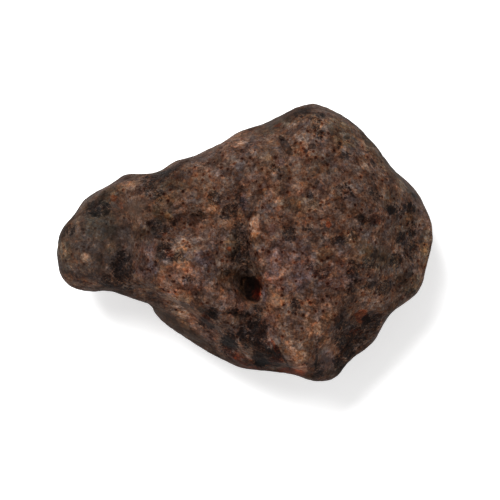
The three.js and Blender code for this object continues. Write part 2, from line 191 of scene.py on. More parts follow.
# Marks on the upper face, each with its tint, how ragged it is, and for each place:
# its middle, half-lengths along and across, turn of the long way in degrees, strength
MARKS = {
    "lobe": {
        "tint": (0.72, 0.78, 0.82),
        "ragged": 0.5,
        "places": [((-32.5, 2.0), (9.5, 9.0), 0, 1.0)],
    },
    "olive": {
        "tint": (0.78, 0.87, 0.85),
        "ragged": 1.2,
        "places": [
            ((-29.0, 3.5), (4.0, 4.0), 20, 0.7),  # the lobe
            ((15.5, 15.5), (4.5, 3.0), -30, 0.55),
            ((11.0, 7.6), (5.0, 2.2), 0, 0.7),
            ((-16.4, 6.0), (2.2, 2.6), 0, 0.8),
            ((-27.0, -1.0), (2.4, 2.0), 0, 0.5),
            ((-16.0, 8.6), (2.6, 2.0), 0, 0.8),
            ((-19.4, 1.4), (2.0, 2.4), 0, 0.7),
            ((-36.0, -4.5), (2.6, 4.0), 0, 0.5),
            ((18.6, -26.2), (2.4, 2.0), 0, 0.9),
            ((29.0, 9.0), (2.6, 2.0), -50, 0.55),
            ((-2.4, -0.6), (2.2, 3.0), 0, 0.7),
            ((6.6, 23.4), (4.0, 1.4), 29, 0.8),
            ((-27.0, 9.6), (3.0, 1.6), 35, 0.9),
            ((27.0, -3.5), (5.5, 3.0), -30, 0.7),
            ((28.6, 15.9), (9.0, 1.6), -50, 1.0),
            ((33.0, -8.0), (2.8, 2.4), 0, 1.0),
            ((36.8, -0.5), (1.6, 3.2), 0, 1.0),
            ((-36.5, -1.5), (2.0, 2.4), 0, 0.8),
            ((-15.0, 10.5), (3.8, 2.6), 25, 0.7),
            ((19.5, 22.0), (4.4, 2.6), -45, 0.8),
            ((32.0, 3.5), (4.0, 4.0), 0, 0.5),
            ((-8.0, -13.5), (3.0, 2.0), -30, 0.5),
            ((23.0, 0.0), (6.0, 5.0), 0, 0.45),
        ],
    },
    "violet": {
        "tint": (0.97, 0.98, 1.15),
        "ragged": 1.2,
        "places": [
            ((-19.4, -1.5), (3.6, 1.8), 80, 0.9),  # beside the neck
            ((-20.0, -5.5), (2.6, 2.2), 0, 0.8),
            ((16.6, -24.2), (2.8, 1.6), 88, 1.0),  # smooth step by the low corner
            ((9.0, -4.5), (5.0, 5.5), 0, 1.0),
            ((-8.0, -3.1), (2.6, 2.4), 0, 0.7),
            ((3.9, -10.2), (0.7, 1.8), 0, 0.9),  # right of the pit
            ((16.6, -26.6), (2.2, 2.2), 0, 0.8),
            ((5.4, 2.5), (1.4, 0.8), 80, 0.9),
            ((-0.3, 7.9), (2.5, 0.7), 88, 0.8),
            ((7.0, 15.9), (1.0, 0.9), 0, 0.9),
            ((17.5, 15.5), (1.2, 1.2), 0, 0.6),
            ((30.0, -5.0), (2.5, 2.5), 0, 0.5),
        ],
    },
    "rose": {
        "tint": (1.08, 0.92, 0.88),
        "ragged": 1.0,
        "places": [
            ((-12.5, -7.5), (4.5, 3.5), 0, 1.0),
            ((-8.5, -17.0), (4.0, 1.8), -38, 1.0),
            ((-1.5, -12.0), (3.0, 2.6), 0, 0.8),
            ((4.4, -17.6), (2.0, 3.5), -20, 1.0),
            ((18.5, -6.5), (3.5, 3.0), 0, 1.0),
            ((10.0, -25.4), (3.0, 1.6), 0, 1.0),
            ((1.0, -24.4), (5.0, 1.6), -8, 1.0),
            ((4.0, -7.2), (1.8, 2.6), 0, 0.6),
        ],
    },
    "tan": {
        "tint": (1.3, 1.23, 1.15),
        "ragged": 1.6,
        "places": [
            ((-10.5, -13.5), (3.4, 1.8), -38, 0.6),
            ((-5.0, 5.5), (5.0, 4.5), 30, 0.9),
            ((-13.8, 7.6), (3.6, 2.2), 20, 1.0),
            ((13.8, 5.5), (4.0, 3.0), 0, 0.8),
            ((12.0, 18.8), (3.0, 1.6), 0, 0.7),
            ((16.0, -12.5), (3.4, 3.4), 0, 1.0),
            ((7.0, -4.0), (3.0, 3.2), 0, 0.9),
            ((-4.0, 1.5), (4.0, 3.0), 0, 0.8),
            ((-5.5, -9.5), (3.0, 2.4), 0, 0.8),
            ((25.0, -10.1), (3.0, 2.2), 0, 0.7),
            ((-24.0, 11.3), (1.8, 1.3), 15, 0.9),
            ((-22.2, 6.8), (2.6, 2.6), 30, 1.0),  # smooth place in the neck
            ((-33.0, -3.0), (2.6, 2.2), 0, 0.6),
            ((-35.4, -4.4), (1.8, 3.2), 0, 0.9),
            ((37.2, 1.5), (3.6, 0.9), 90, 1.0),
            ((-2.4, 20.4), (4.0, 1.8), 25, 1.0),
            ((14.5, -17.6), (3.0, 4.0), 0, 0.8),
            ((2.0, 3.3), (2.4, 1.6), 85, 1.0),
            ((4.6, -4.2), (6.2, 1.4), -75, 1.0),  # crest beside the groove and the pit
            ((17.4, -21.4), (1.6, 2.2), 0, 0.9),
            ((12.0, -25.6), (2.0, 1.6), 0, 0.9),
            ((6.2, 3.4), (2.5, 2.0), 0, 0.9),
            ((12.4, -11.4), (1.7, 2.2), 0, 0.9),
            ((11.6, 9.6), (3.4, 3.0), 0, 0.8),
            ((-17.0, 7.4), (3.4, 1.8), 0, 0.8),
            ((-4.4, -9.8), (2.0, 1.2), 0, 0.9),
            ((-25.8, 5.2), (1.8, 1.8), 0, 1.0),
            ((-2.8, -9.2), (2.0, 1.2), 0, 0.9),
            ((-26.8, -0.5), (1.3, 1.9), 0, 0.8),
            ((-7.0, 3.0), (3.0, 2.6), 0, 1.0),
            ((14.0, 16.6), (3.4, 1.2), 0, 0.55),
            ((-15.5, -11.6), (3.6, 1.5), -35, 0.9),
            ((2.4, 12.0), (3.2, 1.6), 0, 0.9),
            ((6.2, -13.5), (5.0, 1.4), -85, 1.0),
            ((26.2, 16.9), (6.5, 0.5), -46, 1.0),  # ridge along the upper right edge
            ((-3.0, 20.8), (4.0, 1.4), 25, 1.0),
            ((-12.5, -14.5), (3.2, 1.6), -38, 1.0),
            ((36.4, -4.0), (4.0, 1.0), 80, 1.0),  # right edge
            ((13.4, -17.1), (2.6, 2.6), 0, 0.9),  # above the low corner
            ((9.4, -21.5), (3.2, 1.7), -62, 0.8),
            ((3.8, 11.4), (3.6, 3.6), 25, 0.9),
            ((6.0, 1.0), (3.0, 5.0), 0, 0.5),
            ((5.8, -13.0), (2.0, 4.0), 10, 0.6),
        ],
    },
    "dark": {
        "tint": (0.21, 0.22, 0.245),
        "ragged": 4.2,
        "places": [
            ((-29.3, 6.7), (2.6, 1.7), 0, 1.0),  # blot on the lobe
            ((-24.7, -5.4), (2.3, 3.6), 0, 1.0),  # blot in the neck
            ((-27.4, 3.3), (1.4, 0.8), -10, 0.5),
            ((-18.2, 3.5), (1.8, 1.1), 0, 0.9),  # upper wall of the dish
            ((-14.4, 4.2), (1.5, 0.9), -8, 0.8),
            ((-17.4, 1.5), (1.0, 0.9), 0, 0.8),
            ((-16.0, -1.8), (1.7, 1.9), 0, 0.9),
            ((-23.4, -9.1), (1.4, 0.8), 0, 0.65),
            ((-17.4, 13.2), (3.6, 1.6), 25, 1.0),
            ((-19.6, 10.8), (2.4, 1.6), 10, 0.65),
            ((-0.3, -0.8), (4.4, 1.7), 92, 0.75),  # floor of the groove
            ((-1.2, -3.0), (2.2, 1.3), 0, 1.0),
            ((0.6, -4.6), (2.2, 0.8), 80, 0.6),
            ((-1.6, 2.6), (2.4, 1.4), 85, 0.7),
            ((-0.6, 8.1), (2.8, 0.7), 90, 0.6),
            ((-2.6, 6.4), (2.0, 1.6), 0, 0.8),
            ((8.8, 1.4), (1.4, 1.5), 0, 1.0),
            ((14.5, -5.6), (4.0, 1.8), -20, 0.6),
            ((21.6, -5.6), (1.6, 2.4), 0, 0.8),
            ((22.0, -7.6), (2.0, 1.6), 0, 0.6),
            ((6.0, 14.8), (1.6, 1.2), -40, 0.7),
            ((-6.0, 8.9), (1.5, 1.5), 0, 0.9),
            ((33.6, 2.8), (1.2, 2.4), 0, 0.7),
            ((21.6, 1.9), (1.1, 1.8), 0, 0.8),
            ((18.8, 0.3), (2.2, 1.1), 0, 0.8),
            ((19.6, -16.4), (1.6, 1.2), 20, 0.8),
            ((28.6, -8.4), (1.6, 1.2), 0, 0.7),
            ((21.0, -9.5), (1.3, 1.3), 0, 0.7),
            ((1.2, -17.9), (1.5, 2.2), 0, 1.0),
            ((-3.0, -19.8), (1.8, 1.2), 0, 0.8),
            ((4.2, -20.6), (1.4, 1.2), 0, 0.8),
            ((14.0, 25.0), (2.0, 1.0), -10, 0.8),
            ((-11.2, -7.7), (1.5, 1.2), 0, 0.8),
            ((-13.4, -2.8), (2.6, 1.6), 0, 0.6),
            ((-4.0, -6.0), (1.4, 1.2), 0, 0.6),
            ((23.0, 4.6), (1.4, 1.2), 0, 0.8),
            ((31.8, 0.8), (1.7, 1.6), 0, 0.8),
            ((20.0, 10.3), (1.6, 2.4), 0, 0.6),
            ((31.0, 6.0), (2.6, 1.2), 0, 0.7),
            ((-2.8, -13.6), (2.2, 1.0), 0, 0.7),
            ((14.6, 22.4), (1.4, 2.6), 20, 0.6),
            ((19.0, 18.6), (1.4, 2.0), 20, 0.5),
            ((-6.6, -14.5), (1.4, 1.5), 0, 0.9),  # small pit
            ((2.4, -18.0), (2.2, 3.2), 0, 1.0),  # valley below the pit
            ((0.2, -18.8), (1.6, 2.4), 0, 1.0),
            ((4.8, -24.2), (2.4, 1.6), 0, 1.0),
            ((19.4, -24.4), (1.8, 2.0), 40, 0.9),
            ((15.2, -25.6), (1.2, 2.0), 0, 0.7),
            ((-35.4, 2.4), (1.8, 1.3), 40, 0.8),
            ((-18.0, 9.4), (1.8, 1.6), 0, 0.9),
            ((-26.8, -8.0), (2.6, 1.4), 0, 0.9),
            ((-0.4, -14.4), (1.8, 0.8), 0, 0.7),
            ((-3.2, -20.8), (1.9, 2.8), 0, 1.0),
            ((4.0, -23.4), (2.2, 3.2), 0, 1.0),
            ((6.0, -22.2), (1.1, 1.8), 0, 1.0),
            ((-25.0, -5.2), (1.7, 2.4), 0, 1.0),
            ((-3.8, 5.4), (1.4, 1.2), 0, 0.8),
            ((2.6, -13.8), (0.9, 1.6), 0, 0.85),
            ((10.1, -12.8), (1.2, 1.8), 0, 0.8),
            ((20.0, 17.4), (1.4, 1.3), 0, 0.7),
            ((13.2, 9.4), (1.2, 0.8), 0, 0.7),
            ((12.4, 2.6), (1.6, 1.0), 0, 0.6),
            ((17.8, 10.2), (1.0, 1.6), 0, 0.6),
            ((26.0, 4.2), (1.6, 1.3), 0, 0.8),
            ((26.0, 9.4), (1.4, 1.6), 0, 0.7),
            ((25.0, -8.6), (1.8, 1.2), 0, 0.7),
            ((-3.4, -18.4), (1.4, 1.4), 0, 0.7),
            ((-15.8, 2.8), (1.4, 1.0), 0, 0.8),
            ((24.7, -15.6), (1.4, 1.2), 0, 1.0),
            ((-8.0, -16.2), (2.0, 1.5), -30, 0.9),
            ((21.2, -19.4), (3.2, 2.6), 30, 1.0),  # slope to the lower right edge
            ((25.4, -16.2), (2.4, 1.7), 40, 1.0),
            ((20.8, -22.3), (1.8, 1.6), 30, 1.0),
            ((27.4, -9.4), (1.8, 1.3), 0, 1.0),
            ((24.4, -4.4), (2.2, 1.6), 0, 0.6),
            ((26.6, 4.8), (1.6, 1.4), 0, 0.7),
            ((29.6, 6.7), (1.5, 1.1), 0, 1.0),
            ((33.0, 7.0), (1.5, 1.2), 0, 0.9),
            ((11.6, 26.2), (1.8, 1.1), 20, 1.0),
            ((14.6, 25.4), (1.2, 0.8), 0, 1.0),
            ((33.5, -10.2), (1.3, 1.1), 0, 0.8),
            ((33.4, -1.4), (1.6, 3.0), 0, 0.75),
            ((30.6, -3.6), (1.7, 1.6), 0, 0.8),
            ((8.0, 2.9), (0.9, 0.9), 0, 0.5),
        ],
    },
    "black": {
        "tint": (0.3, 0.3, 0.32),
        "ragged": 1.2,
        "places": [
            ((13.4, 19.1), (0.8, 0.6), 0, 1.0),  # single grains
            ((12.2, 18.3), (0.5, 0.4), 0, 0.9),
            ((15.6, 25.5), (0.6, 0.5), 0, 1.0),
            ((20.4, 21.1), (0.7, 0.5), 0, 0.9),
            ((25.6, 15.9), (0.5, 1.0), 15, 1.0),
            ((29.4, 6.5), (0.9, 0.9), 0, 1.0),
            ((33.2, 7.4), (0.6, 0.5), 0, 0.9),
            ((34.4, 9.6), (0.9, 0.6), -30, 0.9),
            ((-6.6, -14.5), (0.8, 0.8), 0, 0.9),
            ((8.2, 19.1), (2.3, 0.8), -60, 1.0),  # slot where a clast fell out
            ((21.0, 10.1), (2.8, 0.25), -56, 1.0),  # crack
            ((14.3, -23.6), (3.2, 0.3), 88, 1.0),  # crack beside the smooth step
            ((24.3, -15.5), (1.0, 1.1), 0, 0.9),
            ((3.4, -24.2), (1.6, 1.0), 0, 0.8),
            ((8.0, -23.6), (2.6, 0.25), -62, 1.0),  # crack beside the rusty line
        ],
    },
    "melt": {
        "tint": (0.44, 0.42, 0.43),
        "ragged": 3.0,
        "places": [
            ((2.1, -17.9), (1.9, 2.2), 0, 0.95),  # patches of black melt in the valley below the pit
            ((-3.0, -19.9), (1.7, 1.6), 0, 1.0),
            ((3.4, -22.9), (2.0, 2.6), 0, 1.0),
            ((6.4, -22.3), (0.8, 1.4), 0, 1.0),
            ((-2.2, -13.7), (1.0, 0.9), 0, 0.9),
            ((-0.8, -18.1), (1.0, 1.9), 0, 0.6),
            ((20.6, -22.0), (1.4, 1.4), 0, 1.0),
            ((18.8, -16.1), (1.2, 1.9), 0, 0.8),
            ((-24.9, -5.3), (1.6, 2.6), 0, 0.9),
            ((-15.4, -0.8), (1.1, 1.0), 0, 0.9),
        ],
    },
    "shade": {
        "tint": (0.57, 0.5, 0.44),
        "ragged": 0.8,
        "places": [
            ((4.4, 16.2), (2.4, 2.8), 0, 1.0),
            ((8.0, 13.6), (1.8, 1.8), 0, 0.8),
            ((-15.8, 13.0), (4.0, 2.2), 25, 0.9),
            ((25.5, -2.0), (6.5, 1.8), -32, 0.6),
            ((18.9, 8.0), (3.0, 1.0), -70, 0.8),
            ((-26.2, -9.7), (4.0, 1.2), -5, 1.0),
            ((2.5, 0.5), (1.6, 1.3), 0, 0.8),
            ((34.0, 5.9), (1.6, 1.6), 0, 0.8),
            ((30.4, -12.6), (2.6, 1.0), 45, 0.8),
            ((-6.0, 16.2), (3.2, 1.4), 25, 0.6),
            ((-20.6, 1.6), (2.6, 2.2), 0, 0.6),
            ((-20.4, -3.9), (1.4, 2.4), 0, 0.7),
            ((12.8, -20.5), (1.6, 1.3), 0, 0.7),
            ((22.4, 5.4), (3.4, 1.0), -40, 0.7),
            ((-22.6, 13.2), (2.2, 0.8), 10, 0.8),
            ((-13.4, 15.6), (2.6, 1.0), 25, 0.9),
            ((16.0, -2.6), (2.0, 1.2), 30, 0.8),
            ((-0.5, 5.6), (4.0, 0.9), 0, 0.8),
            ((-6.8, -2.6), (2.8, 1.3), 0, 0.7),
            ((2.6, -8.0), (1.0, 2.4), 5, 0.8),
            ((23.2, -15.4), (2.2, 1.6), 0, 0.9),
            ((-9.8, -20.2), (2.4, 0.8), -35, 1.0),
            ((14.0, 14.0), (1.6, 1.2), 0, 0.7),
            ((7.0, 10.6), (1.6, 1.8), 0, 0.7),
            ((25.4, -18.4), (2.2, 1.0), 45, 0.8),
            ((23.5, -2.0), (4.5, 5.5), 0, 0.42),
            ((2.4, -25.8), (9.0, 2.4), -8, 1.0),  # lower edge
            ((-12.2, -18.4), (9.2, 2.0), -37, 1.0),  # lower left edge
            ((15.5, -28.0), (4.0, 2.4), 0, 1.0),  # low corner
            ((-36.5, 3.5), (5.0, 2.6), 60, 0.9),  # upper edge of the lobe
            ((-29.6, 8.4), (7.5, 1.3), 40, 0.6),
            ((18.0, 20.6), (1.6, 3.0), 0, 0.8),
            ((10.8, 25.8), (3.6, 1.8), 15, 0.9),  # top corner
            ((22.5, -23.5), (6.0, 1.6), 45, 0.9),
        ],
    },
    "pale": {
        "tint": (1.7, 1.72, 1.68),
        "ragged": 1.4,
        "places": [
            ((2.0, 3.1), (2.2, 1.3), 85, 1.0),  # on the crest beside the groove
            ((2.7, 6.8), (2.4, 0.45), 84, 0.9),
            ((-12.3, 0.0), (1.9, 1.1), -35, 1.0),  # in the dish
            ((-13.6, 7.2), (3.0, 1.7), 20, 0.9),
            ((-17.6, 5.9), (1.4, 0.9), 20, 0.8),
            ((24.6, -12.4), (2.6, 1.5), 0, 0.9),
            ((8.2, -3.2), (2.0, 2.2), 0, 0.8),
            ((6.6, -8.6), (1.2, 1.6), 0, 0.8),
            ((11.6, -23.9), (2.0, 2.2), 0, 1.0),
            ((9.0, -22.2), (1.6, 1.2), 0, 0.9),
            ((-5.4, -20.0), (0.9, 1.9), 0, 0.8),
            ((15.6, -19.7), (1.8, 1.8), 0, 0.9),
            ((17.6, -21.8), (1.5, 1.5), 0, 0.9),
            ((21.3, -18.3), (1.7, 1.0), 25, 0.65),
            ((13.2, -16.4), (1.9, 2.2), 0, 1.0),
            ((11.8, 17.8), (1.6, 1.6), 0, 0.7),
            ((6.6, 6.8), (1.8, 2.4), 0, 0.7),
            ((10.0, 10.4), (2.0, 1.4), 0, 0.7),
            ((25.0, 17.6), (2.0, 1.6), -40, 0.7),
            ((-14.6, -11.4), (2.6, 1.6), -45, 0.8),
            ((-10.6, -14.6), (2.6, 1.4), -38, 0.8),
            ((13.4, -11.6), (1.3, 1.8), 0, 0.7),
            ((4.0, 9.0), (2.2, 2.0), 0, 0.5),
            ((36.6, 0.6), (4.2, 0.8), 90, 0.8),  # right edge
            ((-34.6, -4.8), (2.2, 2.2), 0, 0.6),
            ((-26.8, 3.0), (1.2, 2.8), 0, 0.5),
            ((-10.0, 0.5), (1.7, 0.8), 10, 0.7),
            ((-2.6, 20.8), (3.2, 1.4), 25, 1.0),  # upper left edge
            ((-1.6, 19.6), (2.4, 1.4), 25, 1.0),
            ((6.4, -4.6), (1.6, 3.4), 0, 0.8),
            ((-4.0, 18.1), (1.6, 0.8), 75, 0.9),
            ((-32.0, -3.1), (1.2, 1.0), 0, 0.9),
            ((-33.8, -4.0), (0.7, 0.7), 0, 0.8),
            ((-28.2, -4.9), (0.8, 0.9), 0, 0.9),
            ((17.0, 24.3), (0.9, 0.6), 0, 0.9),
            ((11.6, 19.9), (0.6, 1.1), 0, 1.0),
            ((12.5, 7.3), (2.0, 1.4), 0, 0.9),
            ((15.4, 7.9), (0.7, 0.6), 0, 0.8),
            ((24.2, 15.5), (0.5, 0.9), 0, 0.7),
            ((1.4, 18.5), (0.6, 1.1), 0, 0.9),
            ((-12.0, -15.9), (2.3, 1.4), -40, 1.0),
            ((19.4, -2.7), (1.6, 1.2), 0, 0.8),
            ((-4.6, -22.0), (1.4, 1.1), 0, 0.8),
            ((11.0, -25.4), (1.8, 1.4), 0, 0.9),
            ((8.6, -16.4), (1.1, 1.3), 0, 0.7),
            ((-7.2, -8.4), (1.4, 1.4), 0, 0.8),
            ((13.2, -11.2), (1.1, 1.6), 0, 0.7),
            ((4.4, -13.6), (1.0, 1.6), 0, 0.7),
            ((-15.6, 6.9), (2.4, 1.2), 10, 0.8),
            ((29.8, -1.0), (1.2, 2.2), 0, 0.8),
            ((-5.0, -11.0), (1.5, 2.2), -30, 0.9),
            ((-11.4, -5.5), (1.2, 1.2), 0, 0.8),
            ((25.0, 1.0), (1.6, 1.0), -15, 0.7),
            ((-26.6, -1.2), (1.0, 1.6), 0, 0.8),
            ((9.0, -20.5), (2.0, 1.0), -60, 0.7),
            ((5.4, -9.5), (0.7, 3.0), 0, 0.8),
            ((3.4, -3.9), (1.1, 1.1), 0, 0.6),
            ((34.8, -7.5), (2.6, 1.3), 80, 0.9),
            ((16.4, -13.6), (1.4, 1.8), 0, 0.9),
            ((16.4, 4.0), (1.6, 1.0), 0, 0.8),
            ((-7.0, 6.6), (2.0, 1.8), 0, 0.7),
            ((25.2, 18.8), (2.6, 1.2), -45, 0.9),
            ((31.4, 11.6), (2.0, 1.2), -50, 0.8),
            ((-36.8, -1.6), (1.2, 2.4), 0, 0.8),
            ((37.0, 1.6), (0.9, 2.6), 0, 0.9),
        ],
    },
    "cream": {
        "tint": (1.42, 1.4, 1.34),
        "ragged": 1.4,
        "places": [
            ((13.1, -16.5), (1.5, 1.7), 0, 1.0),  # the largest pale clasts
            ((1.8, 3.3), (1.8, 0.9), 80, 1.0),
            ((-11.9, 0.3), (1.5, 0.8), -35, 0.7),
            ((-32.2, -2.9), (0.9, 0.8), 0, 0.9),
            ((10.4, -22.6), (1.6, 1.2), -50, 0.8),
            ((8.0, -3.4), (0.9, 1.0), 0, 0.7),
            ((13.4, -11.5), (1.3, 1.5), 0, 0.8),
            ((11.0, -25.4), (1.5, 1.2), 0, 0.8),
            ((13.0, 6.4), (1.3, 1.0), 0, 0.7),
            ((-13.6, 8.3), (1.4, 0.9), 0, 0.7),
        ],
    },
    "rust": {
        "tint": (1.3, 0.66, 0.44),
        "ragged": 1.6,
        "places": [
            ((-26.4, 8.9), (0.9, 0.9), 0, 0.7),
            ((22.0, -17.8), (2.0, 1.6), 0, 0.5),
            ((-0.6, -24.4), (1.8, 0.9), -20, 0.6),
            ((-2.6, -22.4), (3.2, 1.8), -30, 0.6),
            ((6.0, -23.6), (2.4, 1.6), 0, 0.6),
            ((-15.0, -2.0), (1.4, 1.4), 0, 0.6),
            ((9.5, -26.2), (3.0, 1.2), -5, 0.9),
            ((1.6, -25.4), (4.5, 1.0), -5, 0.6),
            ((14.5, -6.0), (4.0, 3.0), 0, 0.45),
            ((-7.5, -15.0), (3.0, 1.8), -38, 0.5),
            ((26.5, 5.0), (3.0, 3.0), 0, 0.5),
            ((6.6, 23.6), (1.4, 0.5), 27, 0.6),
            ((23.4, -14.8), (1.4, 1.6), 0, 0.9),  # hollow by the lower right edge
            ((2.7, -8.8), (1.0, 2.4), 5, 0.7),  # right rim of the pit
            ((6.4, -21.5), (2.4, 0.4), -62, 1.0),
            ((16.6, 3.5), (0.6, 0.7), 0, 1.0),
            ((-3.2, -1.3), (0.5, 0.5), 0, 1.0),
            ((-16.0, 1.5), (1.2, 1.0), 0, 0.5),
            ((-24.8, 7.5), (1.0, 1.6), 0, 0.5),
        ],
    },
    # painted shade in the shallow bowl round the pit
    "bowl shade": {
        "tint": (0.68, 0.6, 0.49),
        "ragged": 1.2,
        "places": [
            ((-3.2, -6.7), (2.6, 1.7), 10, 0.75),
            ((1.0, -9.6), (2.3, 2.7), 0, 1.0),
        ],
    },
    # painted shade: the core of the deep pit darkened to near black
    "pit": {
        "tint": (0.16, 0.14, 0.15),
        "ragged": 1.4,
        "places": [((1.5, -8.9), (1.6, 2.3), 8, 1.0), ((1.6, -10.9), (1.6, 1.0), -10, 1.0)],
    },
    # rust on the pit's lower right wall, with painted light that brightens it
    "pit wall rust and light": {
        "tint": (2.2, 0.88, 0.66),
        "ragged": 3.4,
        "places": [((2.3, -10.4), (1.0, 1.3), 0, 0.9)],
    },
}
REACH = 4.0  # how far a mark reaches down a slope, in its half-widths, and the least in millimetres
LEAST_REACH = 4.5
MARK_SPAN = 2  # how far the face is followed to each side of a mark's middle, in its half-lengths
MARK_STEPS = 9  # and at how many places
MARK_EDGE = 1.3  # above 1, a mark is even in its middle and fades more quickly at its edge
MARK_FALL = 0.7  # how quickly it fades
MARK_FROM = 0.4  # a mark's own ragged strength at which its tint starts and is full
MARK_FULL = 0.56
VEINED_MARKS = ("dark",)  # threads of the rock's own colour cross these
VEIN_FROM = 0.016  # how near to the middle of a thread its vein starts and is full
VEIN_FULL = 0.004
VEIN_TINT = 0.3  # how much of the mark's tint is left on a vein

# Marks like these on the sides and the underside: width of the blotches, how rare they are, and a
# shift in the noise, so that two kinds don't lie in the same places
SCATTER = {
    "dark": (4.2, 0.24, (3.0, 1.0, 7.0)),
    "shade": (9.0, 0.12, (21.0, 4.0, 2.0)),
    "pale": (3.4, 0.26, (9.0, 30.0, 5.0)),
    "tan": (6.5, 0.02, (2.0, 17.0, 11.0)),
    "rust": (4.0, 0.42, (13.0, 8.0, 19.0)),
    "olive": (7.5, 0.05, (5.0, 23.0, 1.0)),
    "violet": (6.0, 0.15, (31.0, 12.0, 6.0)),
}
SCATTER_RISE = 0.4  # how much the noise rises from the edge of a blotch to where it is full
HIDDEN_TURN = (-0.35, 0.05)  # how far the surface turns down while these come in

# Smooth places, worn or glazed, where the grain hardly shows, with the same values as a mark's places
WORN_PLACES = [
    ((-22.0, 6.5), (2.4, 2.0), 30, 1.0),  # in the neck
    ((16.6, -24.2), (2.8, 1.5), 88, 0.9),  # step by the low corner
    ((6.6, 24.5), (6.0, 1.1), 29, 1.0),  # strip along the upper left edge
    ((-13.2, -17.1), (7.6, 1.4), -37, 1.0),  # strip along the lower left edge
    ((28.8, 15.9), (9.0, 1.5), -50, 0.55),  # strip along the upper right edge
    ((-30.0, 1.5), (8.5, 9.0), 0, 0.62),  # the lobe
]
# dull dark brown of the worn places, which on the sides is also painted shade
WORN_AND_SHADE_COLOUR = "#382e28"
WORN_SHARE = 0.62  # how much of that colour a fully worn place has
LUMPS_WORN_OFF = 0.5  # how much of the relief such a place has lost
GRAIN_WORN_OFF = 0.85
SIDE_WEAR_AND_SHADE = 0.8  # how worn the sides are, and how much painted shade darkens them
SIDE_TURN = (-0.45, -0.1)  # how far the surface turns down while they start
SIDE_RISE = (3, 8)  # how high above the bed they start

# Tints by the mask "standing": the value at which one starts, the value at which it is full, the tint
STANDING_TINTS = [
    (0.47, 0.25, (0.66, 0.62, 0.6)),  # darker in the hollows
    (0.55, 0.78, (1.16, 1.14, 1.1)),  # lighter on the crests
]

# The floor and the light
FLOOR_HALF = 3000.0
SOFTBOX_SIZE = 300.0
SOFTBOX_PLACE = (-200.0, 300.0, 740.0)


def linear(code):
    """An sRGB hex colour as linear red, green, blue and alpha."""
    parts = [int(code[i : i + 2], 16) / 255 for i in (1, 3, 5)]
    return tuple(c / 12.92 if c <= 0.04045 else ((c + 0.055) / 1.055) ** 2.4 for c in parts) + (1.0,)


def add(tree, kind, settings=None, links=None):
    """Adds a node, with its own settings and input values by name, and what is linked into it."""
    node = tree.nodes.new(kind)
    for name, value in (settings or {}).items():
        if isinstance(name, str) and hasattr(node, name):
            setattr(node, name, value)
        else:
            node.inputs[name].default_value = value
    for name, socket in (links or {}).items():
        tree.links.new(socket, node.inputs[name])
    return node


def upper_face(points, normals):
    """The points of the upper face as seen from above, to look up the face's height at a place."""
    seen = points[(normals[:, 2] > FACE_UP) & (points[:, 2] > RIM_HEIGHT - FACE_MARGIN)]
    face = kdtree.KDTree(len(seen))
    for number, (x, y, _) in enumerate(seen * FACE_SPREAD):
        face.insert((x, y, 0.0), number)
    face.balance()
    return face, seen[:, 2]


def marked(points, face, places):
    """How strongly each point lies in one of the marks of the upper face, 0 to 1. Each mark follows the
    face's height along its own long way and ends down a slope."""
    tree, heights = face
    across_face = points[:, :2] * FACE_SPREAD
    strongest = np.zeros(len(points))
    for (x, y), (along_half, across_half), turn, strength in places:
        angle = math.radians(turn)
        way = np.array((math.cos(angle), math.sin(angle)))
        from_mark = across_face - (x, y)
        along = from_mark @ way
        across = from_mark @ (-way[1], way[0])
        steps = np.linspace(-MARK_SPAN, MARK_SPAN, MARK_STEPS) * along_half
        under = [heights[tree.find((x + step * way[0], y + step * way[1], 0.0))[1]] for step in steps]
        down = (points[:, 2] - np.interp(along, steps, under)) / max(REACH * across_half, LEAST_REACH)
        away = (along / along_half) ** 2 + (across / across_half) ** 2 + down**2
        strongest = np.maximum(strongest, strength * np.exp(-(away**MARK_EDGE) * MARK_FALL))
    return strongest


def scattered(points, width, shift):
    """Blotches of a width in millimetres, for the sides and the underside."""
    return np.array([noise.noise((Vector(p) + Vector(shift)) / width) for p in points])


def ease(value, low, high):
    """0 below low, 1 above high, with an eased rise between."""
    share = np.clip((value - low) / (high - low), 0, 1)
    return share * share * (3 - 2 * share)


def relief(place, wear_and_shade):
    """How far the broken surface stands out at a place in the rock, in millimetres."""
    lumps = LUMP_RELIEF * noise.fractal(place / LUMP, LUMP_FADE, LUMP_SHRINK, LUMP_SETS)
    (near, *_), (grain_middle, *_) = noise.voronoi(place / GRAIN)
    grain = GRAIN_RELIEF * (GRAIN_STEP * noise.cell(grain_middle * GRAIN_PICK) + GRAIN_LEVEL - near)
    (clast_near, *_), (clast_middle, *_) = noise.voronoi(place / CLAST + CLAST_SHIFT)
    pick = noise.cell(clast_middle * CLAST_PICK)
    rounded = max(0.0, 1 - (clast_near / CLAST_RADIUS) ** 2)
    clast = 0.0
    if pick > CLAST_STANDS_FROM:
        clast = CLAST_RELIEF * rounded
    elif pick < CLAST_FELL_BELOW:
        clast = -CLAST_HOLLOW * rounded**HOLLOW_FLATNESS
    return lumps * (1 - LUMPS_WORN_OFF * wear_and_shade) + (grain + clast) * (1 - GRAIN_WORN_OFF * wear_and_shade)


def smoothed_solid():
    """The stone's mesh with its facets rounded off by subdivision."""
    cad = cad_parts["stone"]
    mesh = cad.data.copy()
    mesh.transform(cad.matrix_world)
    shape = bmesh.new()
    shape.from_mesh(mesh)
    bmesh.ops.remove_doubles(shape, verts=shape.verts, dist=1e-6)
    bmesh.ops.dissolve_degenerate(shape, edges=shape.edges, dist=1e-7)
    shape.to_mesh(mesh)
    shape.free()
    mesh.materials.clear()

    coarse = bpy.data.objects.new("coarse_stone", mesh)
    bpy.context.scene.collection.objects.link(coarse)
    smooth = coarse.modifiers.new("smooth", "SUBSURF")
    smooth.levels = SUBDIVISIONS
    smooth.render_levels = SUBDIVISIONS
    smoothed = coarse.evaluated_get(bpy.context.evaluated_depsgraph_get())
    fine = bpy.data.meshes.new_from_object(smoothed)
    bpy.data.objects.remove(coarse)
    return fine


